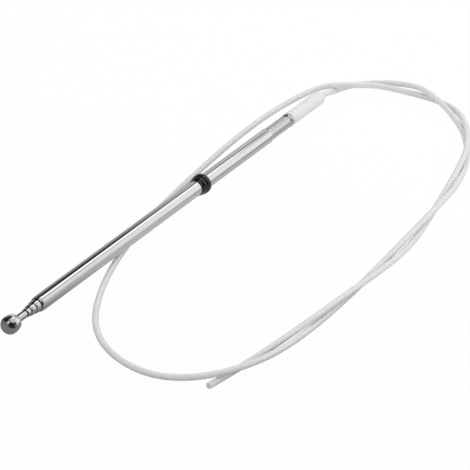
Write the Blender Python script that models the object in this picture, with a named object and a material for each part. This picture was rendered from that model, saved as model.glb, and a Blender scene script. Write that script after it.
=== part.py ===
"""Telescopic car mast, pushed together and lying on its side, with its nylon drive cable looped beside it.

The mast's axis is the X axis. The ball is at its -X end and the cable leaves at its +X end. The origin is the
middle of the mast. All sizes are in metres: MM turns the millimetres that a drawing would give into metres.
"""

import math

import bmesh
import bpy
import numpy as np

MM = 0.001

# Overall layout: lengths along the mast when it is pushed together
HEAD_LENGTH = 8.25 * MM
ROD_PROUD = 9.6 * MM
MAIN_LENGTH = 232.0 * MM
BUSH_PROUD = 24.4 * MM
SLEEVE_PROUD = 35.6 * MM
RING_SETBACK = 154.7 * MM

# The drawn tubes, widest first. Each lip stands proud of the lip outside it.
MAIN_DIAMETER = 8.0 * MM
MAIN_WALL = 0.4 * MM
MAIN_LIP = 2.2 * MM
SECTION_NUMBERS = (4, 3, 2)
SECTION_DIAMETERS = (6.6 * MM, 5.5 * MM, 4.4 * MM)
SECTION_WALLS = (0.3 * MM, 0.3 * MM, 0.22 * MM)
SECTION_PROUD = (3.8 * MM, 3.9 * MM, 2.5 * MM)
SECTION_LIP = 1.5 * MM
ROD_DIAMETER = 3.4 * MM

# Clearances
SEAT_GAP = 0.1 * MM
PRESS_GAP = 0.05 * MM
RUNNING_GAP = 0.08 * MM
LIP_GAP = 0.07 * MM
SPRING_GAP = 0.05 * MM
CABLE_GAP = 0.15 * MM
CABLE_END_GAP = 0.3 * MM

# Collars at the foot of each section, with the spring groove between two flanges
SPIGOT_LENGTH = 5.0 * MM
FLANGE_LENGTH = 1.2 * MM
GROOVE_LENGTH = 6.0 * MM
GROOVE_DEPTH = 0.42 * MM
SPIGOT_CHAMFER = 0.1 * MM
CUP_LENGTH = 4.0 * MM
CUP_RELIEF = 0.06 * MM
ROD_SPIGOT_DIAMETER = 2.4 * MM

# Split barrel springs
SPRING_THICKNESS = 0.15 * MM
SPRING_END_PLAY = 0.2 * MM
SPRING_SEGMENTS = 30
SPRING_STATIONS = 8
SLOT_EVERY = 3

# Ball head
HEAD_RADIUS = 4.45 * MM
HEAD_SKIRT_START = 1.5 * MM
HEAD_BACK_RADIUS = 3.8 * MM
HEAD_CHAMFER = 0.3 * MM
HEAD_HOLE_DEPTH = 5.3 * MM
ROD_ENTRY = 5.0 * MM
ROD_CHAMFER = 0.15 * MM

# Foot bush: pressed in the main tube, with a groove and a rolled bead near its free end
BUSH_SEATED = 16.4 * MM
BUSH_BORE_DIAMETER = 3.6 * MM
BUSH_SOCKET_DIAMETER = 5.4 * MM
BUSH_SOCKET_DEPTH = 8.0 * MM
BUSH_GROOVE_LENGTH = 1.8 * MM
BUSH_GROOVE_DEPTH = 0.3 * MM
BUSH_BEAD_LENGTH = 2.4 * MM
BUSH_BEAD_HEIGHT = 0.15 * MM

# Guide sleeve
SLEEVE_DIAMETER = 7.45 * MM
SLEEVE_BORE_DIAMETER = 3.6 * MM
SLEEVE_SPIGOT_LENGTH = 7.5 * MM
SLEEVE_ROUNDING = 0.8 * MM
SLEEVE_CHAMFER = 0.15 * MM

# Seal ring with a long front lobe, a valley and a back lobe, whose heights are measured from the main tube
RING_FIT = 0.03 * MM
RING_FRONT_LOBE = 4.35 * MM
RING_CREST_SETBACK = 3.4 * MM
RING_BACK_LOBE = 3.3 * MM
RING_BACK_SWELL = 1.6 * MM
RING_FACE_RISE = 0.25 * MM
RING_FRONT_RISE = 0.9 * MM
RING_VALLEY_RISE = 0.7 * MM
RING_BACK_RISE = 1.35 * MM
RING_EDGE_RISE = 0.95 * MM

# Drive cable
CABLE_DIAMETER = 3.1 * MM
CABLE_SIDES_RESOLUTION = 2
CABLE_POINTS_PER_SPAN = 2

# The cable's free route, in mm, from just outside the sleeve to the cut end. The floor is at z = -7.4.
CABLE_ROUTE = (
    (179.0, 0.5, -3.3), (190.5, -1.5, -4.6), (199.0, -8.5, -4.5), (203.0, -20.5, -3.3),
    (203.0, -34.5, -2.1), (190.5, -57.5, -2.8), (168.0, -80.5, -5.2), (144.5, -95.0, -5.7),
    (103.0, -109.5, -4.2), (65.0, -115.5, -2.1), (23.0, -118.0, -2.7), (-31.5, -119.5, -5.5),
    (-92.5, -120.5, -4.9), (-140.5, -113.0, -2.2), (-156.0, -101.0, -2.6), (-160.0, -83.0, -4.8),
    (-155.0, -62.0, -5.7), (-135.5, -36.0, -5.8), (-99.0, -15.0, -5.8), (-64.0, -3.0, -5.8),
    (11.0, 11.0, -5.8), (72.5, 16.5, -5.3), (122.5, 16.5, -3.2), (158.0, 10.5, -0.7),
    (178.0, 1.0, 0.2), (185.0, -7.5, -0.5), (193.5, -15.5, -2.3), (200.5, -33.5, -5.3),
    (197.0, -54.5, -5.5), (164.5, -85.0, -2.0), (141.0, -96.5, -1.5), (111.5, -104.5, -2.8),
    (68.5, -112.5, -5.5), (23.5, -120.5, -5.3), (-37.0, -122.0, -2.4), (-85.0, -118.5, -2.5),
    (-136.0, -110.0, -5.5), (-156.6, -106.4, -5.8),
)

# Round pieces share one facet count, so that facets line up across each running fit
SEGMENTS = 32
LIP_STEPS = 5
DOME_STEPS = 9
LOBE_STEPS = 6
ROUNDING_STEPS = 3
LIP_LAND_SHARE = 0.6
SHOULDER_SHARE = 0.75
LIP_EDGE = 0.12 * MM
SHARP_ANGLE = math.radians(35)

# Places along the mast that follow from the lengths
OVERALL_LENGTH = HEAD_LENGTH + ROD_PROUD + sum(SECTION_PROUD) + MAIN_LENGTH + BUSH_PROUD + SLEEVE_PROUD
TIP_X = -OVERALL_LENGTH / 2
HEAD_BACK_X = TIP_X + HEAD_LENGTH
SLEEVE_END_X = OVERALL_LENGTH / 2
BUSH_END_X = SLEEVE_END_X - SLEEVE_PROUD
MAIN_END_X = BUSH_END_X - BUSH_PROUD
MAIN_LIP_X = MAIN_END_X - MAIN_LENGTH
RING_FRONT_X = MAIN_LIP_X + RING_SETBACK
BUSH_FACE_X = MAIN_END_X - BUSH_SEATED
COLLAR_LENGTH = GROOVE_LENGTH + 2 * FLANGE_LENGTH
MAIN_BORE = MAIN_DIAMETER / 2 - MAIN_WALL

CHROME = ("chrome", (0.80, 0.80, 0.81, 1.0), 0.12, 1.0)
BRASS = ("brass", (0.72, 0.55, 0.25, 1.0), 0.30, 1.0)
BRONZE = ("spring_bronze", (0.66, 0.48, 0.30, 1.0), 0.32, 1.0)
RUBBER = ("black_rubber", (0.02, 0.02, 0.02, 1.0), 0.45, 0.0)
NYLON = ("natural_nylon", (0.86, 0.86, 0.84, 1.0), 0.40, 0.0)


def clear_scene():
    """Remove the objects of the scene that the script starts in."""
    for obj in list(bpy.data.objects):
        bpy.data.objects.remove(obj, do_unlink=True)


def make_material(name, colour, roughness, metallic):
    """One Principled material."""
    material = bpy.data.materials.new(name)
    material.use_nodes = True
    shader = material.node_tree.nodes["Principled BSDF"]
    shader.inputs["Base Color"].default_value = colour
    shader.inputs["Roughness"].default_value = roughness
    shader.inputs["Metallic"].default_value = metallic
    return material


def add_object(name, data, finish, parent=None):
    """Link a new object with its own material, under a parent empty if it has one."""
    obj = bpy.data.objects.new(name, data)
    bpy.context.scene.collection.objects.link(obj)
    label, colour, roughness, metallic = finish
    data.materials.append(make_material(f"{name}_{label}", colour, roughness, metallic))
    if parent is not None:
        obj.parent = parent
    return obj


def add_slide(name, x, parent=None):
    """An empty on the mast's axis, which carries the pieces of one sliding section."""
    empty = bpy.data.objects.new(name, None)
    bpy.context.scene.collection.objects.link(empty)
    empty.location = (x, 0.0, 0.0)
    if parent is not None:
        empty.parent = parent
        empty.location.x -= world_x(parent)
    return empty


def world_x(empty):
    """Where an empty of the chain lies along the mast."""
    return empty.location.x + (world_x(empty.parent) if empty.parent is not None else 0.0)


def turned_mesh(name, outline, base_x=0.0):
    """Turn an outline of (x, radius) points round the X axis into a closed mesh.

    An outline whose ends lie on the axis makes a solid piece. Any other outline is closed into a ring.
    """
    solid = outline[0][1] == 0.0 and outline[-1][1] == 0.0
    work = bmesh.new()
    rows = []
    for x, radius in outline:
        if radius == 0.0:
            rows.append([work.verts.new((x - base_x, 0.0, 0.0))])
            continue
        row = []
        for step in range(SEGMENTS):
            angle = 2 * math.pi * step / SEGMENTS
            row.append(work.verts.new((x - base_x, radius * math.cos(angle), radius * math.sin(angle))))
        rows.append(row)
    pairs = list(zip(rows, rows[1:]))
    if not solid:
        pairs.append((rows[-1], rows[0]))
    for first, second in pairs:
        for step in range(SEGMENTS):
            following = (step + 1) % SEGMENTS
            if len(first) == 1:
                work.faces.new((first[0], second[step], second[following]))
            elif len(second) == 1:
                work.faces.new((first[step], second[0], first[following]))
            else:
                work.faces.new((first[step], second[step], second[following], first[following]))
    bmesh.ops.recalc_face_normals(work, faces=work.faces[:])
    mesh = bpy.data.meshes.new(name)
    work.to_mesh(mesh)
    work.free()
    mesh.shade_smooth()
    mesh.set_sharp_from_angle(angle=SHARP_ANGLE)
    return mesh


def rolled_tube_outline(lip_x, end_x, outer, bore, mouth, lip_length):
    """A drawn tube whose front end is rolled in to a smaller, rounded mouth."""
    start = mouth + LIP_EDGE
    outline = []
    for step in range(LIP_STEPS + 1):
        angle = math.pi / 2 * step / LIP_STEPS
        x = lip_x + lip_length * (1 - math.cos(angle))
        outline.append((x, start + (outer - start) * math.sin(angle)))
    shoulder_x = lip_x + lip_length * SHOULDER_SHARE
    outline += [(end_x, outer), (end_x, bore), (shoulder_x, bore)]
    outline += [(lip_x + lip_length * LIP_LAND_SHARE, mouth), (lip_x + LIP_EDGE, mouth)]
    return outline


def foot_joint_outline(tube_end_x, tube_bore, outer_bore, cable_bore):
    """The collar at a tube's foot: a spigot in the tube, then two flanges with the spring groove between."""
    spigot = tube_bore - PRESS_GAP
    flange = outer_bore - RUNNING_GAP
    groove = flange - GROOVE_DEPTH
    front = tube_end_x - SPIGOT_LENGTH
    face = tube_end_x + SEAT_GAP
    return [
        (front, cable_bore), (front, spigot - SPIGOT_CHAMFER), (front + SPIGOT_CHAMFER, spigot),
        (face, spigot), (face, flange), (face + FLANGE_LENGTH, flange), (face + FLANGE_LENGTH, groove),
        (face + FLANGE_LENGTH + GROOVE_LENGTH, groove), (face + FLANGE_LENGTH + GROOVE_LENGTH, flange),
        (face + COLLAR_LENGTH, flange), (face + COLLAR_LENGTH, cable_bore),
    ]


def ferrule_outline(front_x, outer_bore):
    """The collar on the rod: a socket for the rod's spigot in front and a cup for the cable behind."""
    socket = ROD_SPIGOT_DIAMETER / 2 + PRESS_GAP
    flange = outer_bore - RUNNING_GAP
    groove = flange - GROOVE_DEPTH
    back = front_x + COLLAR_LENGTH
    cup_bore = (CABLE_DIAMETER / 2) + PRESS_GAP
    socket_end = front_x + SPIGOT_LENGTH + SEAT_GAP
    return [
        (socket_end, 0.0), (socket_end, socket), (front_x, socket), (front_x, flange),
        (front_x + FLANGE_LENGTH, flange), (front_x + FLANGE_LENGTH, groove),
        (front_x + FLANGE_LENGTH + GROOVE_LENGTH, groove), (front_x + FLANGE_LENGTH + GROOVE_LENGTH, flange),
        (back, flange), (back, flange - CUP_RELIEF), (back + CUP_LENGTH, flange - CUP_RELIEF),
        (back + CUP_LENGTH, cup_bore), (back, cup_bore), (back, 0.0),
    ]


def spring_mesh(name, groove_start_x, flange, outer_bore, base_x):
    """A slotted barrel of sheet bronze, open along one side, before its thickness is added."""
    start = groove_start_x + SPRING_END_PLAY
    length = GROOVE_LENGTH - 2 * SPRING_END_PLAY
    low = flange - GROOVE_DEPTH + SPRING_GAP + SPRING_THICKNESS
    high = outer_bore - SPRING_GAP
    work = bmesh.new()
    rows = []
    for station in range(SPRING_STATIONS):
        share = station / (SPRING_STATIONS - 1)
        radius = low + (high - low) * math.sin(math.pi * share)
        row = []
        for step in range(SPRING_SEGMENTS + 1):
            angle = 2 * math.pi * (step + 1) / SEGMENTS
            point = (start + length * share - base_x, radius * math.cos(angle), radius * math.sin(angle))
            row.append(work.verts.new(point))
        rows.append(row)
    for station, (first, second) in enumerate(zip(rows, rows[1:])):
        at_end = station in (0, SPRING_STATIONS - 2)
        for step in range(SPRING_SEGMENTS):
            in_slot = step % SLOT_EVERY == 1
            if at_end or not in_slot:
                work.faces.new((first[step], first[step + 1], second[step + 1], second[step]))
    for face in work.faces:
        face.normal_update()
        centre = face.calc_center_median()
        if face.normal.y * centre.y + face.normal.z * centre.z < 0:
            face.normal_flip()
    mesh = bpy.data.meshes.new(name)
    work.to_mesh(mesh)
    work.free()
    mesh.shade_smooth()
    mesh.set_sharp_from_angle(angle=SHARP_ANGLE)
    return mesh


def add_spring(name, groove_start_x, flange, outer_bore, slide):
    """A contact spring in its groove: the slotted sheet, thickened inwards."""
    sheet = spring_mesh(name, groove_start_x, flange, outer_bore, world_x(slide))
    obj = add_object(name, sheet, BRONZE, slide)
    solidify = obj.modifiers.new("thickness", "SOLIDIFY")
    solidify.thickness = SPRING_THICKNESS
    solidify.offset = -1.0
    return obj


def add_turned(name, outline, finish, slide=None):
    """A turned piece, placed by its slide's empty if it moves."""
    base_x = world_x(slide) if slide is not None else 0.0
    return add_object(name, turned_mesh(name, outline, base_x), finish, slide)


def head_outline():
    """The ball: a dome, a short tapered skirt, a flat back and a blind hole for the rod."""
    centre_x = TIP_X + HEAD_RADIUS
    last_angle = math.pi / 2 + math.asin(HEAD_SKIRT_START / HEAD_RADIUS)
    outline = [(TIP_X, 0.0)]
    for step in range(1, DOME_STEPS + 1):
        angle = last_angle * step / DOME_STEPS
        outline.append((centre_x - HEAD_RADIUS * math.cos(angle), HEAD_RADIUS * math.sin(angle)))
    hole = ROD_DIAMETER / 2 + PRESS_GAP
    hole_end_x = HEAD_BACK_X - HEAD_HOLE_DEPTH
    outline.append((HEAD_BACK_X - HEAD_CHAMFER, HEAD_BACK_RADIUS))
    outline.append((HEAD_BACK_X, HEAD_BACK_RADIUS - HEAD_CHAMFER))
    outline += [(HEAD_BACK_X, hole), (hole_end_x, hole), (hole_end_x, 0.0)]
    return outline


def rod_outline(shoulder_x):
    """The solid innermost section, with a turned spigot at its foot."""
    front = HEAD_BACK_X - ROD_ENTRY
    radius = ROD_DIAMETER / 2
    spigot = ROD_SPIGOT_DIAMETER / 2
    return [
        (front, 0.0), (front, radius - ROD_CHAMFER), (front + ROD_CHAMFER, radius), (shoulder_x, radius),
        (shoulder_x, spigot), (shoulder_x + SPIGOT_LENGTH, spigot), (shoulder_x + SPIGOT_LENGTH, 0.0),
    ]


def bush_outline():
    """The mast's foot: a thick tube with a groove and a rolled bead, counterbored for the sleeve."""
    radius = MAIN_BORE - PRESS_GAP
    bore = BUSH_BORE_DIAMETER / 2
    socket = BUSH_SOCKET_DIAMETER / 2
    bead_x = BUSH_END_X - BUSH_BEAD_LENGTH
    groove_x = bead_x - BUSH_GROOVE_LENGTH
    outline = [(BUSH_FACE_X, bore), (BUSH_FACE_X, radius)]
    for step in range(LOBE_STEPS + 1):
        share = step / LOBE_STEPS
        dip = BUSH_GROOVE_DEPTH * math.sin(math.pi * share)
        outline.append((groove_x + BUSH_GROOVE_LENGTH * share, radius - dip))
    for step in range(1, LOBE_STEPS + 1):
        share = step / LOBE_STEPS
        rise = BUSH_BEAD_HEIGHT * math.sin(math.pi * share)
        outline.append((bead_x + BUSH_BEAD_LENGTH * share, radius + rise))
    outline += [(BUSH_END_X, socket), (BUSH_END_X - BUSH_SOCKET_DEPTH, socket)]
    outline.append((BUSH_END_X - BUSH_SOCKET_DEPTH, bore))
    return outline


def sleeve_outline():
    """The nylon sleeve: a spigot in the bush, a shoulder, and a rounded free end."""
    radius = SLEEVE_DIAMETER / 2
    bore = SLEEVE_BORE_DIAMETER / 2
    spigot = BUSH_SOCKET_DIAMETER / 2 - RUNNING_GAP
    front = BUSH_END_X - SLEEVE_SPIGOT_LENGTH
    shoulder = BUSH_END_X + SEAT_GAP
    outline = [(front, bore), (front, spigot), (shoulder, spigot)]
    outline += [(shoulder, radius - SLEEVE_CHAMFER), (shoulder + SLEEVE_CHAMFER, radius)]
    for step in range(ROUNDING_STEPS + 1):
        angle = math.pi / 2 * step / ROUNDING_STEPS
        x = SLEEVE_END_X - SLEEVE_ROUNDING * (1 - math.sin(angle))
        outline.append((x, radius - SLEEVE_ROUNDING * (1 - math.cos(angle))))
    outline.append((SLEEVE_END_X, bore))
    return outline


def ring_outline():
    """The rubber ring: a front lobe that swells slowly, a valley, and a back lobe with a flat rear face."""
    tube = MAIN_DIAMETER / 2
    inner = tube + RING_FIT
    face = tube + RING_FACE_RISE
    crest = tube + RING_FRONT_RISE
    valley = tube + RING_VALLEY_RISE
    top = tube + RING_BACK_RISE
    crest_x = RING_FRONT_X + RING_CREST_SETBACK
    valley_x = RING_FRONT_X + RING_FRONT_LOBE
    back_x = valley_x + RING_BACK_LOBE
    outline = [(RING_FRONT_X, inner)]
    for step in range(LOBE_STEPS + 1):
        share = step / LOBE_STEPS
        rise = (1 - math.cos(math.pi * share)) / 2
        outline.append((RING_FRONT_X + RING_CREST_SETBACK * share, face + (crest - face) * rise))
    for step in range(1, ROUNDING_STEPS + 1):
        share = step / ROUNDING_STEPS
        fall = 1 - math.cos(math.pi / 2 * share)
        outline.append((crest_x + (valley_x - crest_x) * share, crest - (crest - valley) * fall))
    for step in range(1, LOBE_STEPS + 1):
        angle = math.pi / 2 * step / LOBE_STEPS
        x = valley_x + RING_BACK_SWELL * (1 - math.cos(angle))
        outline.append((x, valley + (top - valley) * math.sin(angle)))
    corner = RING_BACK_RISE - RING_EDGE_RISE
    for step in range(ROUNDING_STEPS + 1):
        angle = math.pi / 2 * step / ROUNDING_STEPS
        x = back_x - corner * (1 - math.sin(angle))
        outline.append((x, top - corner * (1 - math.cos(angle))))
    outline.append((back_x, inner))
    return outline


def smooth_curve(points, start_direction, per_span):
    """Points on the cubic spline through the given points, clamped at its start and free at its end."""
    points = np.array(points, dtype=float)
    count = len(points)
    spans = np.linalg.norm(np.diff(points, axis=0), axis=1)
    slopes = np.diff(points, axis=0) / spans[:, None]
    matrix = np.zeros((count, count))
    target = np.zeros((count, 3))
    matrix[0, 0] = 2 * spans[0]
    matrix[0, 1] = spans[0]
    target[0] = 6 * (slopes[0] - np.array(start_direction))
    for i in range(1, count - 1):
        matrix[i, i - 1] = spans[i - 1]
        matrix[i, i] = 2 * (spans[i - 1] + spans[i])
        matrix[i, i + 1] = spans[i]
        target[i] = 6 * (slopes[i] - slopes[i - 1])
    matrix[-1, -1] = 1.0
    bends = np.linalg.solve(matrix, target)
    curve = []
    for i in range(count - 1):
        for step in range(per_span):
            ahead = step / per_span
            behind = 1 - ahead
            bulge = (behind ** 3 - behind) * bends[i] + (ahead ** 3 - ahead) * bends[i + 1]
            curve.append(behind * points[i] + ahead * points[i + 1] + bulge * spans[i] ** 2 / 6)
    curve.append(points[-1])
    return curve


def add_cable(start_x):
    """The nylon cable: straight inside the mast, then along its free route."""
    exit_point = (SLEEVE_END_X, 0.0, 0.0)
    free = smooth_curve([exit_point] + [tuple(c * MM for c in p) for p in CABLE_ROUTE], (1, 0, 0),
                        CABLE_POINTS_PER_SPAN)
    route = [(start_x, 0.0, 0.0), (BUSH_FACE_X, 0.0, 0.0)] + [tuple(p) for p in free]
    curve = bpy.data.curves.new("drive_cable", "CURVE")
    curve.dimensions = "3D"
    curve.fill_mode = "FULL"
    curve.bevel_depth = CABLE_DIAMETER / 2
    curve.bevel_resolution = CABLE_SIDES_RESOLUTION
    curve.use_fill_caps = True
    spline = curve.splines.new("POLY")
    spline.points.add(len(route) - 1)
    for point, place in zip(spline.points, route):
        point.co = (*place, 1.0)
    return add_object("drive_cable", curve, NYLON)


def add_sections():
    """Add the sliding sections, widest first, each on an empty at its lip, and return the cable's start."""
    outer_bore = MAIN_BORE
    stop_x = BUSH_FACE_X - SEAT_GAP
    lip_x = MAIN_LIP_X
    cable_bore = CABLE_DIAMETER / 2 + CABLE_GAP
    slide = None
    diameters = SECTION_DIAMETERS + (ROD_DIAMETER,)
    for index, number in enumerate(SECTION_NUMBERS):
        lip_x -= SECTION_PROUD[index]
        slide = add_slide(f"slide_{number}", lip_x, slide)
        outer = diameters[index] / 2
        bore = outer - SECTION_WALLS[index]
        mouth = diameters[index + 1] / 2 + LIP_GAP
        end_x = stop_x - COLLAR_LENGTH - SEAT_GAP
        tube = rolled_tube_outline(lip_x, end_x, outer, bore, mouth, SECTION_LIP)
        add_turned(f"tube_{number}", tube, CHROME, slide)
        joint = foot_joint_outline(end_x, bore, outer_bore, cable_bore)
        add_turned(f"foot_joint_{number}", joint, BRASS, slide)
        groove_x = end_x + SEAT_GAP + FLANGE_LENGTH
        add_spring(f"contact_spring_{number}", groove_x, outer_bore - RUNNING_GAP, outer_bore, slide)
        outer_bore = bore
        stop_x = end_x - SPIGOT_LENGTH - SEAT_GAP
    ferrule_x = stop_x - CUP_LENGTH - COLLAR_LENGTH
    slide = add_slide("slide_rod", HEAD_BACK_X, slide)
    add_turned("rod", rod_outline(ferrule_x - SEAT_GAP), CHROME, slide)
    add_turned("tip_ball", head_outline(), CHROME, slide)
    add_turned("cable_ferrule", ferrule_outline(ferrule_x, outer_bore), BRASS, slide)
    add_spring("contact_spring_1", ferrule_x + FLANGE_LENGTH, outer_bore - RUNNING_GAP, outer_bore, slide)
    return ferrule_x + COLLAR_LENGTH + CABLE_END_GAP


def main():
    clear_scene()
    mouth = SECTION_DIAMETERS[0] / 2 + LIP_GAP
    main_tube = rolled_tube_outline(MAIN_LIP_X, MAIN_END_X, MAIN_DIAMETER / 2, MAIN_BORE, mouth, MAIN_LIP)
    add_turned("main_tube", main_tube, CHROME)
    add_turned("seal_ring", ring_outline(), RUBBER)
    add_turned("foot_bush", bush_outline(), CHROME)
    add_turned("guide_sleeve", sleeve_outline(), NYLON)
    add_cable(add_sections())


main()
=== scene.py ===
"""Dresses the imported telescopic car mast: camera, studio, fine round pieces, toothed cable and finishes."""

import logging
import math
from dataclasses import dataclass, replace
from enum import Enum
from typing import Any, Sequence

import bmesh
import bpy
import numpy as np
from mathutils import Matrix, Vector


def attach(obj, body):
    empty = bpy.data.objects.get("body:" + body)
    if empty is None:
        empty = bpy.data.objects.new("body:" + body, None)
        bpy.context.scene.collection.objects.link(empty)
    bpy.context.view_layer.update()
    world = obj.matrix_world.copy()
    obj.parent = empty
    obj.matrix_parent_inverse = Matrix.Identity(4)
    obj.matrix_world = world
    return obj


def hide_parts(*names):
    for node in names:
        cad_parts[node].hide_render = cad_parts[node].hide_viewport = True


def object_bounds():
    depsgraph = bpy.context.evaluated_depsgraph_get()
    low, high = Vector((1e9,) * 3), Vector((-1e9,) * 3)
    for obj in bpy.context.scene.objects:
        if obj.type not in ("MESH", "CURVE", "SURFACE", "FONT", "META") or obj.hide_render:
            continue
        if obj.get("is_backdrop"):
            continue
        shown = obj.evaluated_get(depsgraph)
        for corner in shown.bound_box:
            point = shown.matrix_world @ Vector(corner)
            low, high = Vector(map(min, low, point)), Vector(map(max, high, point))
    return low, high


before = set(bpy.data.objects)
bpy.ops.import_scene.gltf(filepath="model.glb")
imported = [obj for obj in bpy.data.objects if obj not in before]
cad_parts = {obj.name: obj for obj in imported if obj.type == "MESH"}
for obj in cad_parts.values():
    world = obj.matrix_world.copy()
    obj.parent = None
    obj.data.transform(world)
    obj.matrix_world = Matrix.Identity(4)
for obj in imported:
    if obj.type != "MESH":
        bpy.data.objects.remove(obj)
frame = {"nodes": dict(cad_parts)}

LOG = logging.getLogger("mast")
MM = 0.001
# The angle from which an edge of a turned piece or of the table stays sharp, in degrees
SHARP_DEGREES = 35.0
# How many radians a wave texture of scale 1 goes through in one unit
WAVE_RADIANS = 20.0
WHITE = "#FFFFFF"

# A point of an outline: its place along the mast and its radius, in metres
Outline = list[tuple[float, float]]


def linear(colour: str) -> tuple[float, float, float, float]:
    """Turn an sRGB hex colour into the linear colour that a shader takes.

    Args:
        colour: The colour as "#RRGGBB".

    Returns:
        Linear red, green and blue, and an alpha of 1.
    """
    shares = [int(colour[place:place + 2], 16) / 255 for place in (1, 3, 5)]
    red, green, blue = (s / 12.92 if s <= 0.04045 else ((s + 0.055) / 1.055) ** 2.4 for s in shares)
    return (red, green, blue, 1.0)


def add_node(tree: bpy.types.NodeTree, kind: str, settings: dict[Any, Any] | None = None,
             links: dict[Any, bpy.types.NodeSocket] | None = None) -> bpy.types.Node:
    """Add one node with its settings and the links that go into it.

    Args:
        tree: The node tree of a material or of the world.
        kind: Blender's name for the kind of node.
        settings: Values by the name of a property, or by the name or number of an input.
        links: Outputs of other nodes, by the name or number of the input that each goes into.

    Returns:
        The new node.
    """
    node = tree.nodes.new(kind)
    for key, value in (settings or {}).items():
        if isinstance(key, str) and hasattr(node, key):
            setattr(node, key, value)
        else:
            node.inputs[key].default_value = value
    for key, socket in (links or {}).items():
        tree.links.new(socket, node.inputs[key])
    return node


class Lay(Enum):
    """The way that fine marks run on a round metal piece."""

    ALONG = "along the mast, as drawing and sliding leave them"
    AROUND = "round the mast, as a lathe leaves them"


@dataclass(frozen=True)
class Finish:
    """What every finish has: a base colour and how rough its surface is."""

    colour: str
    roughness: float

    def make(self, name: str) -> bpy.types.Material:
        """Make the material of this finish.

        Args:
            name: The material's name.

        Returns:
            The new material.
        """
        material = bpy.data.materials.new(name)
        material.use_nodes = True
        tree = material.node_tree
        shader = tree.nodes["Principled BSDF"]
        shader.inputs["Base Color"].default_value = linear(self.colour)
        shader.inputs["Roughness"].default_value = self.roughness
        self.shade(tree, shader)
        return material

    def shade(self, tree: bpy.types.NodeTree, shader: bpy.types.Node) -> None:
        """Add what sets this finish apart.

        Args:
            tree: The material's nodes.
            shader: Its Principled shader.
        """
        raise NotImplementedError

    def object_place(self, tree: bpy.types.NodeTree,
                     stretch: tuple[float, float, float]) -> bpy.types.NodeSocket:
        """The place on the object in metres, scaled along each axis so that a pattern can be stretched.

        Args:
            tree: The material's nodes.
            stretch: The scale along X, Y and Z.

        Returns:
            The socket with the scaled place.
        """
        place = add_node(tree, "ShaderNodeTexCoord")
        mapping = add_node(tree, "ShaderNodeMapping", {"Scale": stretch}, {"Vector": place.outputs["Object"]})
        return mapping.outputs["Vector"]


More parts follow.
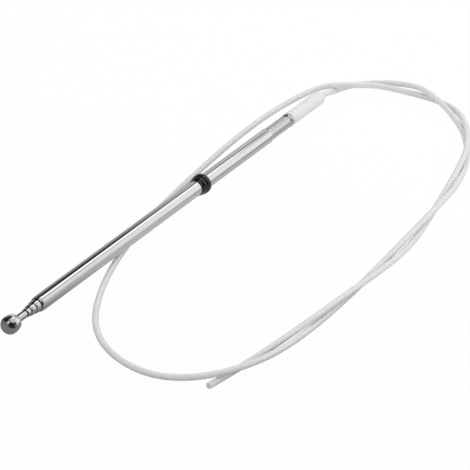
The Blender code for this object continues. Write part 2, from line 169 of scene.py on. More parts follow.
@dataclass(frozen=True)
class ChromePlate(Finish):
    """Bright chromium over nickel on drawn or turned brass."""

    colour: str = "#EAEAEA"
    roughness: float = 0.05
    lay: Lay = Lay.ALONG
    mark_spacing_mm: float = 0.5
    mark_length_mm: float = 24.0
    mark_depth: float = 0.05
    mark_height: float = 0.01 * MM
    ripple_mm: float = 6.0
    ripple_stretch: float = 0.3
    ripple_depth: float = 0.03
    ripple_height: float = 0.2 * MM
    # The marks that count as the least and the most rubbed, and how rough each is as a share of the roughness
    rub_range: tuple[float, float] = (0.35, 0.75)
    rub_shares: tuple[float, float] = (0.7, 1.9)
    # Painted shade: a black band round the tube at the lip outside it, standing in for the shadow and dark
    # reflection of the lip's mouth
    painted_gap_shade: str = "#050505"
    gap_shade_fade: float = 0.12 * MM
    gap_shade_end: float = 0.0
    gap_shade_width: float = 0.0

    def shade(self, tree: bpy.types.NodeTree, shader: bpy.types.Node) -> None:
        """Polished plate: a mirror with hardly any texture, faint marks from drawing, and a slow ripple.

        The eye gets crisp streaks of light along the tube, that waver a little and soften where hands and the
        sliding tubes have rubbed it.

        Args:
            tree: The material's nodes.
            shader: Its Principled shader.
        """
        shader.inputs["Metallic"].default_value = 1.0
        fine = 1 / (self.mark_spacing_mm * MM)
        slow = 1 / (self.mark_length_mm * MM)
        stretch = (slow, fine, fine) if self.lay is Lay.ALONG else (fine, slow, slow)
        marks = add_node(tree, "ShaderNodeTexNoise", {"Scale": 1.0, "Detail": 3.0, "Roughness": 0.6},
                         {"Vector": self.object_place(tree, stretch)})
        wide = 1 / (self.ripple_mm * MM)
        ripple = add_node(tree, "ShaderNodeTexNoise", {"Scale": 1.0, "Detail": 1.0},
                          {"Vector": self.object_place(tree, (wide * self.ripple_stretch, wide, wide))})
        least, most = self.rub_range
        smoothest, roughest = self.rub_shares
        rubbed = add_node(tree, "ShaderNodeMapRange",
                          {"From Min": least, "From Max": most, "To Min": self.roughness * smoothest,
                           "To Max": self.roughness * roughest},
                          {"Value": marks.outputs["Fac"]})
        tree.links.new(rubbed.outputs["Result"], shader.inputs["Roughness"])
        slow_bump = add_node(tree, "ShaderNodeBump",
                             {"Strength": self.ripple_depth, "Distance": self.ripple_height},
                             {"Height": ripple.outputs["Fac"]})
        bump = add_node(tree, "ShaderNodeBump", {"Strength": self.mark_depth, "Distance": self.mark_height},
                        {"Height": marks.outputs["Fac"], "Normal": slow_bump.outputs["Normal"]})
        tree.links.new(bump.outputs["Normal"], shader.inputs["Normal"])
        if self.gap_shade_width > 0:
            self.add_painted_gap_shade(tree, shader)

    def add_painted_gap_shade(self, tree: bpy.types.NodeTree, shader: bpy.types.Node) -> None:
        """A narrow black band painted round the tube where the lip outside it ends: painted shade and dark
        reflection of the lip's mouth.

        It gives the eye the dark line that each lip ends in.

        Args:
            tree: The material's nodes.
            shader: Its Principled shader.
        """
        start = self.gap_shade_end - self.gap_shade_width
        place = add_node(tree, "ShaderNodeSeparateXYZ", {}, {0: self.object_place(tree, (1.0, 1.0, 1.0))})
        after = add_node(tree, "ShaderNodeMapRange",
                         {"From Min": start - self.gap_shade_fade, "From Max": start + self.gap_shade_fade},
                         {"Value": place.outputs["X"]})
        before = add_node(tree, "ShaderNodeMapRange",
                          {"From Min": self.gap_shade_end + self.gap_shade_fade,
                           "From Max": self.gap_shade_end + 3 * self.gap_shade_fade, "To Min": 1.0, "To Max": 0.0},
                          {"Value": place.outputs["X"]})
        amount = add_node(tree, "ShaderNodeMath", {"operation": "MULTIPLY"},
                          {0: after.outputs["Result"], 1: before.outputs["Result"]})
        # Painted shade: the tube's colour turns black in the band at the lip's mouth
        colour = add_node(tree, "ShaderNodeMix",
                          {"data_type": "RGBA", 6: linear(self.colour), 7: linear(self.painted_gap_shade)},
                          {0: amount.outputs[0]})
        tree.links.new(colour.outputs[2], shader.inputs["Base Color"])


@dataclass(frozen=True)
class TurnedBrass(Finish):
    """Free-cutting brass, turned and left bare inside the mast."""

    colour: str = "#C9A55C"
    roughness: float = 0.28
    tarnish: str = "#8F6C35"
    # How long and how wide a patch of tarnish is
    patch_mm: tuple[float, float] = (1.4286, 2.2222)
    tarnish_range: tuple[float, float] = (0.5, 0.75)
    most_tarnish: float = 0.7
    # Coarser than the tool's real feed of about 0.1 mm, so that the rings show
    turning_pitch_mm: float = 1.131
    turning_waver: float = 0.4
    turning_depth: float = 0.25
    turning_height: float = 0.02 * MM

    def shade(self, tree: bpy.types.NodeTree, shader: bpy.types.Node) -> None:
        """Turned brass: fine rings from the tool, with dull brown tarnish in patches between bright ones.

        Args:
            tree: The material's nodes.
            shader: Its Principled shader.
        """
        shader.inputs["Metallic"].default_value = 1.0
        along, across = (1 / (size * MM) for size in self.patch_mm)
        patch = add_node(tree, "ShaderNodeTexNoise", {"Scale": 1.0, "Detail": 4.0},
                         {"Vector": self.object_place(tree, (along, across, across))})
        bare, covered = self.tarnish_range
        share = add_node(tree, "ShaderNodeMapRange",
                         {"From Min": bare, "From Max": covered, "To Max": self.most_tarnish},
                         {"Value": patch.outputs["Fac"]})
        colour = add_node(tree, "ShaderNodeMix",
                          {"data_type": "RGBA", 6: linear(self.colour), 7: linear(self.tarnish)},
                          {0: share.outputs["Result"]})
        tree.links.new(colour.outputs[2], shader.inputs["Base Color"])
        turns = 2 * math.pi / (self.turning_pitch_mm * MM)
        rings = add_node(tree, "ShaderNodeTexWave",
                         {"bands_direction": "X", "Scale": turns / WAVE_RADIANS,
                          "Distortion": self.turning_waver},
                         {"Vector": self.object_place(tree, (1.0, 1.0, 1.0))})
        bump = add_node(tree, "ShaderNodeBump",
                        {"Strength": self.turning_depth, "Distance": self.turning_height},
                        {"Height": rings.outputs["Fac"]})
        tree.links.new(bump.outputs["Normal"], shader.inputs["Normal"])


@dataclass(frozen=True)
class SpringBronze(Finish):
    """Phosphor bronze strip, rolled and blanked."""

    colour: str = "#B98A5A"
    roughness: float = 0.32
    worn: str = "#E0C29A"
    grain_mm: float = 0.12
    grain_stretch: float = 0.08
    grain_depth: float = 0.2
    grain_height: float = 0.01 * MM

    def shade(self, tree: bpy.types.NodeTree, shader: bpy.types.Node) -> None:
        """Rolled strip: a reddish metal with a fine grain round the barrel, brighter where the tube rubs it.

        Args:
            tree: The material's nodes.
            shader: Its Principled shader.
        """
        shader.inputs["Metallic"].default_value = 1.0
        fine = 1 / (self.grain_mm * MM)
        slow = fine * self.grain_stretch
        grain = add_node(tree, "ShaderNodeTexNoise", {"Scale": 1.0, "Detail": 2.0},
                         {"Vector": self.object_place(tree, (fine, slow, slow))})
        colour = add_node(tree, "ShaderNodeMix",
                          {"data_type": "RGBA", 6: linear(self.colour), 7: linear(self.worn)},
                          {0: grain.outputs["Fac"]})
        tree.links.new(colour.outputs[2], shader.inputs["Base Color"])
        bump = add_node(tree, "ShaderNodeBump", {"Strength": self.grain_depth, "Distance": self.grain_height},
                        {"Height": grain.outputs["Fac"]})
        tree.links.new(bump.outputs["Normal"], shader.inputs["Normal"])


@dataclass(frozen=True)
class MouldedRubber(Finish):
    """Black carbon-filled rubber, moulded."""

    colour: str = "#0A0A0A"
    roughness: float = 0.16
    bloom: str = "#141414"
    # How long and how wide a patch of bloom is
    bloom_mm: tuple[float, float] = (2.381, 3.3333)
    rough_spread: tuple[float, float] = (-0.04, 0.08)
    gloss: float = 0.6
    grain_mm: float = 0.22
    grain_depth: float = 0.08
    grain_height: float = 0.05 * MM

    def shade(self, tree: bpy.types.NodeTree, shader: bpy.types.Node) -> None:
        """Moulded rubber: a black with a soft sheen, a fine uneven skin, and a greyish bloom in places.

        Args:
            tree: The material's nodes.
            shader: Its Principled shader.
        """
        fine = 1 / (self.grain_mm * MM)
        skin = add_node(tree, "ShaderNodeTexNoise", {"Scale": 1.0, "Detail": 3.0},
                        {"Vector": self.object_place(tree, (fine, fine, fine))})
        along, across = (1 / (size * MM) for size in self.bloom_mm)
        bloom = add_node(tree, "ShaderNodeTexNoise", {"Scale": 1.0, "Detail": 2.0},
                         {"Vector": self.object_place(tree, (along, across, across))})
        colour = add_node(tree, "ShaderNodeMix",
                          {"data_type": "RGBA", 6: linear(self.colour), 7: linear(self.bloom)},
                          {0: bloom.outputs["Fac"]})
        tree.links.new(colour.outputs[2], shader.inputs["Base Color"])
        shader.inputs["Specular IOR Level"].default_value = self.gloss
        smoother, rougher = self.rough_spread
        rough = add_node(tree, "ShaderNodeMapRange",
                         {"To Min": self.roughness + smoother, "To Max": self.roughness + rougher},
                         {"Value": bloom.outputs["Fac"]})
        tree.links.new(rough.outputs["Result"], shader.inputs["Roughness"])
        bump = add_node(tree, "ShaderNodeBump", {"Strength": self.grain_depth, "Distance": self.grain_height},
                        {"Height": skin.outputs["Fac"]})
        tree.links.new(bump.outputs["Normal"], shader.inputs["Normal"])


@dataclass(frozen=True)
class NaturalNylon(Finish):
    """Unfilled, uncoloured nylon, moulded or extruded."""

    colour: str = "#E6E6E6"
    roughness: float = 0.36
    cloudy: str = "#DEDEDE"
    ior: float = 1.53
    cloud_mm: float = 5.0
    skin_mm: float = 0.6
    skin_depth: float = 0.02
    skin_height: float = 0.05 * MM
    rough_spread: tuple[float, float] = (-0.06, 0.1)
    depth_mm: float = 1.0
    translucency: float = 0.5

    def shade(self, tree: bpy.types.NodeTree, shader: bpy.types.Node) -> None:
        """Natural nylon: milky and waxy, since light goes a millimetre or so into it before it comes back.

        Args:
            tree: The material's nodes.
            shader: Its Principled shader.
        """
        wide = 1 / (self.cloud_mm * MM)
        cloud = add_node(tree, "ShaderNodeTexNoise", {"Scale": 1.0, "Detail": 2.0},
                         {"Vector": self.object_place(tree, (wide, wide, wide))})
        colour = add_node(tree, "ShaderNodeMix",
                          {"data_type": "RGBA", 6: linear(self.colour), 7: linear(self.cloudy)},
                          {0: cloud.outputs["Fac"]})
        tree.links.new(colour.outputs[2], shader.inputs["Base Color"])
        shader.inputs["IOR"].default_value = self.ior
        shader.inputs["Subsurface Weight"].default_value = self.translucency
        # Light of every colour goes equally deep, which keeps the nylon neutral
        shader.inputs["Subsurface Radius"].default_value = (1.0, 1.0, 1.0)
        shader.inputs["Subsurface Scale"].default_value = self.depth_mm * MM
        fine = 1 / (self.skin_mm * MM)
        skin = add_node(tree, "ShaderNodeTexNoise", {"Scale": 1.0, "Detail": 2.0},
                        {"Vector": self.object_place(tree, (fine, fine, fine))})
        smoother, rougher = self.rough_spread
        rough = add_node(tree, "ShaderNodeMapRange",
                         {"To Min": self.roughness + smoother, "To Max": self.roughness + rougher},
                         {"Value": skin.outputs["Fac"]})
        tree.links.new(rough.outputs["Result"], shader.inputs["Roughness"])
        bump = add_node(tree, "ShaderNodeBump", {"Strength": self.skin_depth, "Distance": self.skin_height},
                        {"Height": skin.outputs["Fac"]})
        tree.links.new(bump.outputs["Normal"], shader.inputs["Normal"])


def smooth_curve(points: Sequence[Sequence[float]], start_direction: Sequence[float],
                 per_span: int) -> np.ndarray:
    """Points on the cubic spline through the given points, clamped at its start and free at its end.

    Args:
        points: The points that the spline goes through.
        start_direction: The unit direction in which it starts.
        per_span: How many points it gets from one given point to the next.

    Returns:
        The points, one a row.
    """
    knots = np.array(points, dtype=float)
    count = len(knots)
    spans = np.linalg.norm(np.diff(knots, axis=0), axis=1)
    slopes = np.diff(knots, axis=0) / spans[:, None]
    matrix = np.zeros((count, count))
    target = np.zeros((count, 3))
    matrix[0, 0] = 2 * spans[0]
    matrix[0, 1] = spans[0]
    target[0] = 6 * (slopes[0] - np.array(start_direction))
    for i in range(1, count - 1):
        matrix[i, i - 1] = spans[i - 1]
        matrix[i, i] = 2 * (spans[i - 1] + spans[i])
        matrix[i, i + 1] = spans[i]
        target[i] = 6 * (slopes[i] - slopes[i - 1])
    matrix[-1, -1] = 1.0
    bends = np.linalg.solve(matrix, target)
    curve = []
    for i in range(count - 1):
        for step in range(per_span):
            ahead = step / per_span
            behind = 1 - ahead
            bulge = (behind ** 3 - behind) * bends[i] + (ahead ** 3 - ahead) * bends[i + 1]
            curve.append(behind * knots[i] + ahead * knots[i + 1] + bulge * spans[i] ** 2 / 6)
    curve.append(knots[-1])
    return np.array(curve)


def finish_mesh(name: str, work: bmesh.types.BMesh, sharp_degrees: float) -> bpy.types.Object:
    """Turn finished mesh work into a linked object, smooth but for its sharp edges.

    Args:
        name: The object's name.
        work: The mesh work, which is freed.
        sharp_degrees: The angle from which an edge stays sharp.

    Returns:
        The new object.
    """
    bmesh.ops.recalc_face_normals(work, faces=work.faces[:])
    mesh = bpy.data.meshes.new(name)
    work.to_mesh(mesh)
    work.free()
    mesh.shade_smooth()
    mesh.set_sharp_from_angle(angle=math.radians(sharp_degrees))
    piece = bpy.data.objects.new(name, mesh)
    bpy.context.scene.collection.objects.link(piece)
    return piece


def turned(name: str, outline: Outline, segments: int = 112) -> bpy.types.Object:
    """Turn an outline round the mast's axis, as a lathe does.

    Args:
        name: The object's name.
        outline: Its points. Ends on the axis make a solid piece, and any other outline closes into a ring.
        segments: How many facets there are round the piece.

    Returns:
        The new object.
    """
    solid = outline[0][1] == 0.0 and outline[-1][1] == 0.0
    work = bmesh.new()
    rows = []
    for x, radius in outline:
        if radius == 0.0:
            rows.append([work.verts.new((x, 0.0, 0.0))] * segments)
            continue
        turns = [2 * math.pi * step / segments for step in range(segments)]
        rows.append([work.verts.new((x, radius * math.cos(turn), radius * math.sin(turn))) for turn in turns])
    pairs = list(zip(rows, rows[1:]))
    if not solid:
        pairs.append((rows[-1], rows[0]))
    for first, second in pairs:
        for step in range(segments):
            after = (step + 1) % segments
            around = (first[step], second[step], second[after], first[after])
            # A point on the axis stands there twice, and a face takes it once
            work.faces.new(list(dict.fromkeys(around)))
    return finish_mesh(name, work, SHARP_DEGREES)


def arc(centre: tuple[float, float], size: tuple[float, float], start: float, end: float,
        steps: int) -> Outline:
    """Points of an outline along part of an ellipse.

    Args:
        centre: The centre, along the mast and outwards.
        size: The two half axes, along the mast and outwards.
        start: The first angle in degrees, 0 towards the cable's end of the mast and 90 outwards.
        end: The last angle in degrees.
        steps: How many steps there are between them.

    Returns:
        The points, the first and the last included.
    """
    angles = [math.radians(start + (end - start) * step / steps) for step in range(steps + 1)]
    return [(centre[0] + size[0] * math.cos(a), centre[1] + size[1] * math.sin(a)) for a in angles]


def bowed(start: tuple[float, float], end: tuple[float, float], steps: int) -> Outline:
    """Points of an outline from one point to another, level at whichever of the two is the higher.

    Args:
        start: The first point, which isn't repeated.
        end: The last point.
        steps: How many steps there are.

    Returns:
        The points after the first one.
    """
    points = []
    for step in range(1, steps + 1):
        share = step / steps
        rise = 1 - (1 - share) ** 2 if end[1] > start[1] else share ** 2
        points.append((start[0] + (end[0] - start[0]) * share, start[1] + (end[1] - start[1]) * rise))
    return points


def dress(piece: bpy.types.Object, body: str, node: str, slot: str, finish: Finish) -> bpy.types.Object:
    """Give a piece its finish and its body, hide the CAD node that it stands for, and say so in the log.

    Args:
        piece: The piece.
        body: The CAD body that it rides on.
        node: The CAD node that it stands for.
        slot: The record's material slot.
        finish: Its finish.

    Returns:
        The piece.
    """
    piece.data.materials.append(finish.make(f"{piece.name}_{slot}"))
    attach(piece, body)
    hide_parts(node)
    LOG.info("%s on %s, %d faces", piece.name, body, len(piece.data.polygons))
    return piece


@dataclass(frozen=True)
class Layout:
    """The lengths of the pushed-in mast, and the places along it that follow from them."""

    head_length: float = 8.25 * MM
    rod_proud: float = 9.6 * MM
    sections_proud: tuple[float, float, float] = (3.8 * MM, 3.9 * MM, 2.5 * MM)
    main_length: float = 232.0 * MM
    bush_proud: float = 24.4 * MM
    sleeve_proud: float = 35.6 * MM
    ring_setback: float = 154.7 * MM
    bush_seated: float = 16.4 * MM
    main_diameter: float = 8.0 * MM
    main_wall: float = 0.4 * MM
    section_diameters: tuple[float, float, float] = (6.6 * MM, 5.5 * MM, 4.4 * MM)
    section_walls: tuple[float, float, float] = (0.3 * MM, 0.3 * MM, 0.22 * MM)
    rod_diameter: float = 3.86 * MM
    lip_gap: float = 0.13 * MM
    collar_length: float = 8.4 * MM
    seat_gap: float = 0.1 * MM
    spigot_length: float = 5.0 * MM

    @property
    def sleeve_end(self) -> float:
        """Where the sleeve ends, which is half of the overall length from the middle."""
        overall = (self.head_length + self.rod_proud + sum(self.sections_proud) + self.main_length
                   + self.bush_proud + self.sleeve_proud)
        return overall / 2

    @property
    def tip(self) -> float:
        """Where the ball's front is."""
        return -self.sleeve_end

    @property
    def head_back(self) -> float:
        """Where the ball's skirt ends."""
        return self.tip + self.head_length

    @property
    def bush_end(self) -> float:
        """Where the foot bush ends and the sleeve's body starts."""
        return self.sleeve_end - self.sleeve_proud

    @property
    def main_end(self) -> float:
        """Where the main tube ends."""
        return self.bush_end - self.bush_proud

    @property
    def main_lip(self) -> float:
        """Where the main tube's rolled lip is."""
        return self.main_end - self.main_length

    @property
    def bush_face(self) -> float:
        """Where the foot bush starts, inside the main tube."""
        return self.main_end - self.bush_seated

    @property
    def ring_front(self) -> float:
        """Where the seal ring's front face is."""
        return self.main_lip + self.ring_setback


LAYOUT = Layout()


@dataclass
class DriveCable:
    """The toothed nylon cable that pushes and pulls the rod, from its ferrule to its cut end."""

    diameter: float = 3.1 * MM
    tooth_pitch: float = 2.5 * MM
    tooth_root: float = 1.2 * MM
    tooth_top_share: float = 0.36
    tooth_flank_share: float = 0.12
    sides: int = 22
    sharp_degrees: float = 40.0
    start: float = 39.025 * MM
    plain_end: float = 1.6 * MM
    # The cut end has a dimple in its middle, a share of the cable wide
    dimple_share: float = 0.22
    dimple_depth: float = 0.25 * MM
    # How many points the centreline has inside the mast, and from one point of the route to the next
    points_inside: int = 160
    points_per_span: int = 60
    # How far on either side of a section the cable's direction is taken
    direction_reach: float = 0.8 * MM
    loop_centre: tuple[float, float, float] = (20.0 * MM, -52.0 * MM, -5.0 * MM)
    finish: NaturalNylon = NaturalNylon(colour="#E2E2E2", cloudy="#DADADA", depth_mm=1.4, translucency=0.7)
    # How far the teeth are turned up from the inside of the loops, in degrees, evenly along the cable
    tilts: tuple[float, ...] = (
        0.0, 0.0, 10.0, 30.0, 35.0, 30.0, 15.0, 0.0, -5.0, 0.0, 5.0, 20.0, 35.0, 40.0, 40.0,
    )
    # The free route in mm, as in the part's source, from just outside the sleeve to the cut end
    route: tuple[tuple[float, float, float], ...] = (
        (179.0, 0.5, -3.3), (190.5, -1.5, -4.6), (199.0, -8.5, -4.5), (203.0, -20.5, -3.3),
        (203.0, -34.5, -2.1), (190.5, -57.5, -2.8), (168.0, -80.5, -5.2), (144.5, -95.0, -5.7),
        (103.0, -109.5, -4.2), (65.0, -115.5, -2.1), (23.0, -118.0, -2.7), (-31.5, -119.5, -5.5),
        (-92.5, -120.5, -4.9), (-140.5, -113.0, -2.2), (-156.0, -101.0, -2.6), (-160.0, -83.0, -4.8),
        (-155.0, -62.0, -5.7), (-135.5, -36.0, -5.8), (-99.0, -15.0, -5.8), (-64.0, -3.0, -5.8),
        (11.0, 11.0, -5.8), (72.5, 16.5, -5.3), (122.5, 16.5, -3.2), (158.0, 10.5, -0.7),
        (178.0, 1.0, 0.2), (185.0, -7.5, -0.5), (193.5, -15.5, -2.3), (200.5, -33.5, -5.3),
        (197.0, -54.5, -5.5), (164.5, -85.0, -2.0), (141.0, -96.5, -1.5), (111.5, -104.5, -2.8),
        (68.5, -112.5, -5.5), (23.5, -120.5, -5.3), (-37.0, -122.0, -2.4), (-85.0, -118.5, -2.5),
        (-136.0, -110.0, -5.5), (-156.6, -106.4, -5.8),
    )

    def centreline(self) -> np.ndarray:
        """The cable's middle from its start inside the mast to its cut end.

        Returns:
            Points less than a millimetre apart, one a row.
        """
        exit_point = (LAYOUT.sleeve_end / MM, 0.0, 0.0)
        free = smooth_curve([exit_point, *self.route], (1.0, 0.0, 0.0), self.points_per_span)
        inside = np.linspace((self.start / MM, 0.0, 0.0), exit_point, self.points_inside)
        return np.vstack([inside[:-1], free]) * MM

    def stations(self, length: float) -> list[tuple[float, bool]]:
        """The places along the cable where its section changes.

        Args:
            length: The cable's length.

        Returns:
            Each place, with whether the section there has a tooth.
        """
        rise = self.tooth_pitch * self.tooth_flank_share
        top = self.tooth_pitch * self.tooth_top_share
        places = [(0.0, True), (self.plain_end, True)]
        at = self.plain_end + rise
        while at + self.tooth_pitch < length - self.plain_end:
            places.append((at, False))
            gap_end = at + self.tooth_pitch - top - 2 * rise
            places += [(gap_end, False), (gap_end + rise, True), (gap_end + rise + top, True)]
            at += self.tooth_pitch
        places.append((length, True))
        return places

    def section(self, toothed: bool) -> list[tuple[float, float]]:
        """One section, as distances towards the teeth and across them.

        Args:
            toothed: Whether it is full, or cut flat on the toothed side.

        Returns:
            The points round it.
        """
        radius = self.diameter / 2
        points = []
        for side in range(self.sides):
            turn = 2 * math.pi * side / self.sides
            out = radius * math.cos(turn)
            points.append((out if toothed else min(out, self.tooth_root), radius * math.sin(turn)))
        return points

    def build(self) -> bpy.types.Object:
        """Sweep the toothed section along the centreline.

        Returns:
            The new object, not dressed yet.
        """
        line = self.centreline()
        steps = np.linalg.norm(np.diff(line, axis=0), axis=1)
        along = np.concatenate([[0.0], np.cumsum(steps)])
        length = float(along[-1])
        work = bmesh.new()
        rows = []
        for at, toothed in self.stations(length):
            before, point, ahead = (
                Vector([float(np.interp(at + shift, along, line[:, i])) for i in range(3)])
                for shift in (-self.direction_reach, 0.0, self.direction_reach)
            )
            tangent = (ahead - before).normalized()
            share = at / length * (len(self.tilts) - 1)
            tilt = math.radians(float(np.interp(share, range(len(self.tilts)), self.tilts)))
            teeth = self.towards_teeth(point, tangent, tilt)
            across = tangent.cross(teeth)
            rows.append([work.verts.new(point + teeth * out + across * over)
                         for out, over in self.section(toothed)])
        for first, second in zip(rows, rows[1:]):
            for step in range(self.sides):
                after = (step + 1) % self.sides
                work.faces.new((first[step], second[step], second[after], first[after]))
        self.close_end(work, rows[0], 0.0)
        self.close_end(work, rows[-1], self.dimple_depth)
        return finish_mesh("toothed_cable", work, self.sharp_degrees)

    def towards_teeth(self, point: Vector, tangent: Vector, tilt: float) -> Vector:
        """The direction from the cable's middle to its teeth, inside the loops and turned up a little.

        Args:
            point: The place of the section.
            tangent: The cable's direction there.
            tilt: How far the teeth are turned up, in radians.

        Returns:
            The unit direction.
        """
        level = Vector(self.loop_centre) - point
        level.z = 0.0
        side = tangent.cross(Vector((0.0, 0.0, 1.0))).normalized()
        if side.dot(level) < 0:
            side = -side
        rise = side.cross(tangent).normalized()
        if rise.z < 0:
            rise = -rise
        return side * math.cos(tilt) + rise * math.sin(tilt)

    def close_end(self, work: bmesh.types.BMesh, rim: list[bmesh.types.BMVert], dimple: float) -> None:
        """Close a cut end with a small dimple in its middle.

        Args:
            work: The mesh work.
            rim: The last row of points.
            dimple: How deep the dimple is.
        """
        middle = sum((v.co for v in rim), Vector()) / len(rim)
        inwards = Vector()
        for edge in rim[0].link_edges:
            other = edge.other_vert(rim[0])
            if other not in rim:
                inwards = (other.co - rim[0].co).normalized()
        inner = [work.verts.new(middle.lerp(v.co, self.dimple_share)) for v in rim]
        floor = work.verts.new(middle + inwards * dimple)
        for step in range(len(rim)):
            after = (step + 1) % len(rim)
            work.faces.new((rim[step], rim[after], inner[after], inner[step]))
            work.faces.new((inner[step], inner[after], floor))

    def dress(self, piece: bpy.types.Object) -> None:
        """Args:
            piece: The cable.
        """
        dress(piece, "mast_foot", "drive_cable", "natural_nylon", self.finish)
        line = self.centreline()


@dataclass(frozen=True)
class TaperedTube:
    """The sizes of a drawn tube whose front end is drawn down to a taper with a small rounded nose.

    The taper runs over lip_length outside. Inside, the mouth stays narrow over stop_length, which stops the
    flange of the collar in the tube.
    """

    lip: float
    end: float
    outer: float
    wall: float
    mouth: float
    lip_length: float
    stop_length: float
    edge: float = 0.04 * MM
    # The nose as a share of the taper's height, and the level part of the stop as a share of its length
    nose_share: float = 0.5
    level_share: float = 0.8
    steps: int = 20

    def outline(self) -> Outline:
        """The tube's outline, from the lip along its outside and back through its bore.

        Returns:
            The points, which close into a ring.
        """
        start = self.mouth + self.edge
        bore = self.outer - self.wall
        points: Outline = []
        for step in range(self.steps + 1):
            turn = math.pi / 2 * step / self.steps
            ahead = 1 - math.cos(turn)
            taper = ahead * (3 - ahead * ahead) / 2
            rise = self.nose_share * math.sin(turn) + (1 - self.nose_share) * taper
            points.append((self.lip + self.lip_length * ahead, start + (self.outer - start) * rise))
        points += [(self.end - self.edge, self.outer), (self.end, self.outer - self.edge), (self.end, bore)]
        points.append((self.lip + self.stop_length, bore))
        points.append((self.lip + self.stop_length * self.level_share, self.mouth))
        points += arc((self.lip + self.edge, start), (self.edge, self.edge), 270.0, 180.0, 4)[:-1]
        return points


@dataclass
class MainTube:
    """The widest tube, with a tapered front end and the line where it is rolled onto the foot bush."""

    lip_length: float = 3.8 * MM
    stop_length: float = 1.65 * MM
    crimp_setback: float = 0.35 * MM
    crimp_width: float = 0.6 * MM
    crimp_depth: float = 0.08 * MM
    plain_run: float = 0.3 * MM
    finish: ChromePlate = ChromePlate()

    def build(self) -> bpy.types.Object:
        """Turn the tube, with the line near its end where it is rolled onto the foot bush.

        Returns:
            The new object, not dressed yet.
        """
        outer = LAYOUT.main_diameter / 2
        mouth = LAYOUT.section_diameters[0] / 2 + LAYOUT.lip_gap
        tube = TaperedTube(LAYOUT.main_lip, LAYOUT.main_end, outer, LAYOUT.main_wall, mouth,
                           self.lip_length, self.stop_length)
        outline = tube.outline()
        back = LAYOUT.main_end - self.crimp_setback
        front = back - self.crimp_width
        # A short straight run before the line keeps the shading of the long plain part level
        crimp = [(front - self.plain_run, outer), (front, outer),
                 (back - self.crimp_width / 2, outer - self.crimp_depth), (back, outer)]
        last_full = max(place for place, point in enumerate(outline) if point[1] == outer)
        return turned("chromed_main_tube", outline[:last_full] + crimp + outline[last_full:])

    def dress(self, piece: bpy.types.Object) -> None:
        """Give the tube its finish and body, and hide its CAD node."""
        dress(piece, "mast_foot", "main_tube", "chrome", self.finish)


@dataclass
class SlidingSections:
    """The three drawn tubes that slide in each other, of which only the tapered lips show at rest."""

    numbers: tuple[int, int, int] = (4, 3, 2)
    lip_lengths: tuple[float, float, float] = (3.8 * MM, 2.8 * MM, 2.5 * MM)
    stop_length: float = 1.1 * MM
    # How wide each tube's band of painted shade at the lip outside it is
    gap_shade_widths: tuple[float, float, float] = (0.75 * MM, 0.4 * MM, 0.3 * MM)
    finish: ChromePlate = ChromePlate(mark_spacing_mm=0.4, mark_depth=0.07)

    def build(self) -> list[bpy.types.Object]:
        """Turn the three tubes from the widest to the thinnest.

        Returns:
            The new objects, not dressed yet.
        """
        pieces = []
        lip = LAYOUT.main_lip
        stop = LAYOUT.bush_face - LAYOUT.seat_gap
        inner = LAYOUT.section_diameters[1:] + (LAYOUT.rod_diameter,)
        for index, number in enumerate(self.numbers):
            lip -= LAYOUT.sections_proud[index]
            end = stop - LAYOUT.collar_length - LAYOUT.seat_gap
            tube = TaperedTube(lip, end, LAYOUT.section_diameters[index] / 2, LAYOUT.section_walls[index],
                               inner[index] / 2 + LAYOUT.lip_gap, self.lip_lengths[index], self.stop_length)
            pieces.append(turned(f"chromed_tube_{number}", tube.outline()))
            stop = end - LAYOUT.spigot_length - LAYOUT.seat_gap
        return pieces

    def dress(self, pieces: list[bpy.types.Object]) -> None:
        """Give the tubes their finishes and body, each with a band of painted shade at the lip outside it,
        and hide their CAD nodes.

        Args:
            pieces: The tubes, from the widest to the thinnest.
        """
        wiped_by = LAYOUT.main_lip
        for index, (number, piece) in enumerate(zip(self.numbers, pieces)):
            finish = replace(self.finish, gap_shade_end=wiped_by, gap_shade_width=self.gap_shade_widths[index])
            dress(piece, f"section_{number}", f"tube_{number}", "chrome", finish)
            wiped_by -= LAYOUT.sections_proud[index]


